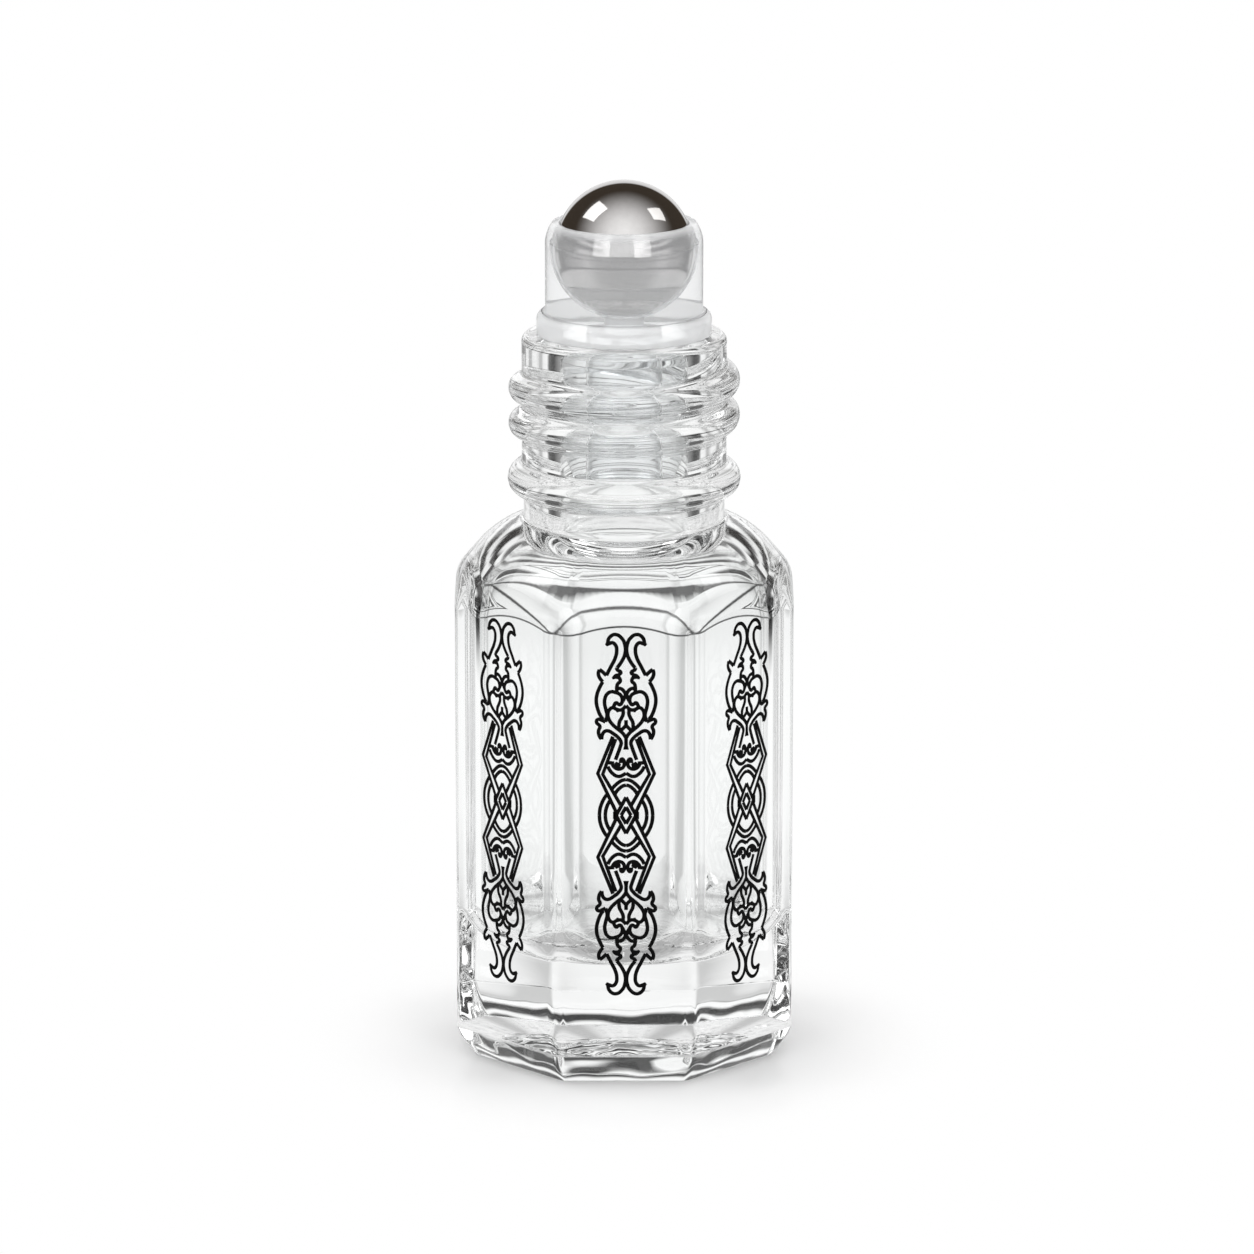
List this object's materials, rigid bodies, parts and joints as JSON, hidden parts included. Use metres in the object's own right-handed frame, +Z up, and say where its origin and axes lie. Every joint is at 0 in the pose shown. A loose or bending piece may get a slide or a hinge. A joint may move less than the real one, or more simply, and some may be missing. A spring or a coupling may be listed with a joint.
{
  "type": "roll-on bottle",
  "caption": "Octagonal clear glass roll-on bottle with a screw neck, a press-in translucent ball housing and a polished steel roller ball, shown without its cap.",
  "frame": {"origin": "centre of the base, on the surface that the bottle stands on", "axes": "+Z up along the bottle's axis, -Y out of the front panel"},
  "size_m": [0.0214, 0.0214, 0.0561],
  "materials": {
    "clear_glass": "clear, fire polished",
    "housing_plastic": "translucent, milky",
    "ball_steel": "mirror polished",
    "print_ink": "screen printed, black"
  },
  "bodies": {
    "bottle": {"glass_bottle": "clear_glass"},
    "fitment": {"ball_housing": "housing_plastic"},
    "ball": {"roller_ball": "ball_steel"}
  },
  "joints": [
    {"name": "fitment_pull", "type": "slide", "parent": "bottle", "child": "fitment", "axis": [0, 0, 1], "range_m": [0, 0.012]},
    {"name": "ball_roll", "type": "hinge", "parent": "fitment", "child": "ball", "pos_m": [0, 0, 0.0517], "axis": [1, 0, 0], "continuous": true}
  ]
}
